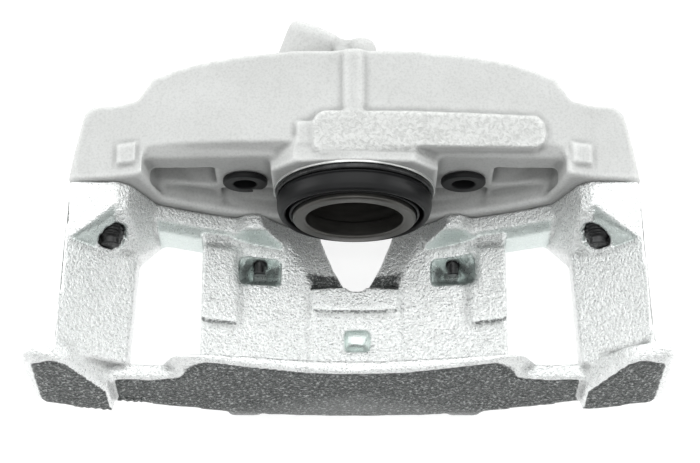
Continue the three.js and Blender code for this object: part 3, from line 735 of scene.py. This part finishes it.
def guide_bush(side, word, rubber):
    def notch(radii, y, angles):
        """The corner cut out of the left bush's flange, at its lower right."""
        if side > 0 or y > BUSH_FACE - 0.4:
            return radii
        across, down = np.cos(angles), -np.sin(angles)
        corner = np.maximum(3.4 / np.maximum(across, 0.01), 6.4 / np.maximum(down, 0.01))
        return np.where(radii > 7.0, np.minimum(radii, np.maximum(corner, 7.0)), radii)

    corners = [
        (BUSH_HOLE_R, BUSH_FACE - 2.6), (BUSH_HOLE_R + 0.4, BUSH_FACE - 3.0), (10.2, BUSH_FACE - 3.0),
        (10.9, BUSH_FACE - 2.3), (10.9, BUSH_FACE - 0.3),
        (8.2, BUSH_FACE - 0.3), (8.2, BUSH_BACK), (10.0, BUSH_BACK), (9.0, BUSH_BACK + 2.5),
        (BUSH_HOLE_R, BUSH_BACK + 2.5),
    ]
    made = turned_piece(
        f"rubber_bush_{word}", corners, rubber, "caliper", x=side * BUSH_X, radius=0.45, warp=notch,
    )
    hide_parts(f"guide_bush_{word}")


def guide_cap(side, word, plastic):
    corners = [
        (0, CAP_SEAT - 7), (4.6, CAP_SEAT - 7), (BUSH_HOLE_R - 0.3, CAP_SEAT - 6),
        (BUSH_HOLE_R - 0.3, CAP_SEAT), (8.5, CAP_SEAT), (8.5, CAP_SEAT + 2.4), (7.4, CAP_SEAT + 3.5),
        (5.4, CAP_SEAT + 3.5), (4.8, CAP_SEAT + 2.8), (0, CAP_SEAT + 2.6),
    ]
    made = turned_piece(
        f"dust_cap_{word}", corners, plastic, f"guide_cap_{word}", x=side * BUSH_X, radius=0.5,
    )
    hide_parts(f"guide_cap_{word}")


def build_bleeder(rubber):
    x, z, seat, r = BLEEDER["x"], BLEEDER["z"], BLEEDER["seat"], BLEEDER["r"]
    plating = machined("yellow_zinc", (0.66, 0.60, 0.44), 0.9, 0.26, 0.4)
    body = softened([
        (0, seat - 14.5), (1.4, seat - 14.5), (4.2, seat - 11.2), (r, seat - 10.4), (r, seat + 0.8),
        (3.4, seat + 2), (3.4, seat + 11), (2.7, seat + 12), (2.7, seat + 14), (3.6, seat + 15.4),
        (2.4, seat + 18.6), (1.2, seat + 18.6), (1.0, seat + 12), (0, seat + 12),
    ], 0.3, False)
    thread = thread_warp(r, BLEEDER["pitch"], seat - 10, seat + 0.5)
    corner_r = BLEEDER["flats"] / 2 / math.cos(math.pi / 6)
    nut = softened([
        (0, seat + 0.4), (corner_r - 0.8, seat + 0.4), (corner_r, seat + 1.2), (corner_r, seat + 6.2),
        (5.4, seat + 7), (0, seat + 7),
    ], 0.2, False)
    solids = joined(
        spin(divided(body, 0.14, False), x, z, 64, thread),
        spin(divided(nut, 0.5, False), x, z, 96, hexagon_warp(BLEEDER["flats"], seat, seat + 8)),
    )
    made = make_object("bleed_nipple", *solids, plating)
    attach(made, "bleeder_screw")
    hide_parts("bleeder_screw")
    corners = [
        (0, seat + 19), (3.9, seat + 19), (3.9, seat + 8), (5.8, seat + 8), (5.8, seat + 10.4),
        (5.1, seat + 11.4), (5.1, seat + 14), (4.8, seat + 14.6), (5.1, seat + 15.2), (5.1, seat + 19),
        (3.8, seat + 21), (0, seat + 21),
    ]
    made = turned_piece("nipple_cap", corners, rubber, "bleeder_cap", x=x, z=z, radius=0.5)
    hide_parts("bleeder_cap")


# ---- Stage, lights and camera ----

def aimed(obj, target):
    obj.rotation_euler = (Vector(target) - obj.location).to_track_quat("-Z", "Y").to_euler()
    bpy.context.scene.collection.objects.link(obj)
    return obj


def area_light(name, location, size, power):
    light = bpy.data.lights.new(name, "AREA")
    light.shape = "RECTANGLE"
    light.size, light.size_y = size
    light.energy = power
    made = bpy.data.objects.new(name, light)
    made.location = location
    return aimed(made, (0, 0, 0.05))


def build_floor():
    floor_mesh = bpy.data.meshes.new("floor")
    low = cad_bounds[0].z - FLOOR_DROP
    corners = [(x * FLOOR_HALF, y * FLOOR_HALF, low) for x, y in ((-1, -1), (1, -1), (1, 1), (-1, 1))]
    floor_mesh.from_pydata(corners, [], [(0, 1, 2, 3)])
    floor_mesh.materials.append(plain_floor())
    floor = bpy.data.objects.new("floor", floor_mesh)
    bpy.context.scene.collection.objects.link(floor)


def lights():
    area_light("top_softbox", (0.0, 0.35, 1.5), (1.6, 1.2), 7)
    area_light("left_strip", (-1.2, 0.25, 0.35), (0.5, 1.2), 4)
    area_light("right_strip", (1.2, 0.25, 0.35), (0.5, 1.2), 4)
    area_light("back_fill", (0.0, 1.3, 0.6), (1.4, 0.5), 2)
    area_light("front_fill", (0.0, -0.9, 1.3), (1.4, 0.4), 3)


def sky():
    """A soft surround, bright behind, above and at the sides, and dark in front and below."""
    world = bpy.data.worlds.new("studio")
    world.use_nodes = True
    tree = world.node_tree
    background = tree.nodes["Background"]
    direction = tree.nodes.new("ShaderNodeTexCoord")
    split = tree.nodes.new("ShaderNodeSeparateXYZ")
    tree.links.new(direction.outputs["Generated"], split.inputs[0])
    sideways = tree.nodes.new("ShaderNodeMath")
    sideways.operation = "ABSOLUTE"
    tree.links.new(split.outputs["X"], sideways.inputs[0])
    level = split.outputs["Y"]
    for source, gain in ((split.outputs["Z"], 0.8), (sideways.outputs[0], 0.5)):
        added = tree.nodes.new("ShaderNodeMath")
        added.operation = "MULTIPLY_ADD"
        tree.links.new(source, added.inputs[0])
        added.inputs[1].default_value = gain
        tree.links.new(level, added.inputs[2])
        level = added.outputs[0]
    ramp = tree.nodes.new("ShaderNodeMapRange")
    ramp.inputs["From Min"].default_value = -0.4
    ramp.inputs["From Max"].default_value = 0.95
    ramp.inputs["To Min"].default_value = 0.05
    ramp.inputs["To Max"].default_value = 1.10
    tree.links.new(level, ramp.inputs["Value"])
    tree.links.new(ramp.outputs["Result"], background.inputs["Strength"])
    background.inputs["Color"].default_value = (0.97, 1.0, 0.99, 1)
    bpy.context.scene.world = world
    bpy.context.scene.view_settings.view_transform = "Standard"


def camera():
    lens = bpy.data.cameras.new("camera")
    lens.sensor_width = 36.0
    lens.lens = LENS
    made = bpy.data.objects.new("camera", lens)
    elevation = math.radians(CAMERA_ELEVATION)
    target = place(*CAMERA_TARGET)
    back = Vector((0, -math.cos(elevation), math.sin(elevation)))
    made.location = target + back * CAMERA_DISTANCE * MM
    bpy.context.scene.camera = aimed(made, target)


# ---- The object ----

camera()
build_floor()
lights()
sky()
build_frame()
build_housing()
build_piston()
boot_rubber, black_steel = build_boot()
cap_plastic = coated("cap_plastic", (0.030, 0.030, 0.031), 0.0, 0.42, 0.6, 0.03)
for side, word in ((-1, "left"), (1, "right")):
    flanged_bolt(f"m12_bolt_{word}", f"frame_bolt_{word}", word, FRAME_BOLT, black_steel)
    flanged_bolt(f"m8_bolt_{word}", f"bridge_bolt_{word}", word, BRIDGE_BOLT, black_steel)
    guide_bush(side, word, boot_rubber)
    guide_cap(side, word, cap_plastic)
build_bleeder(boot_rubber)
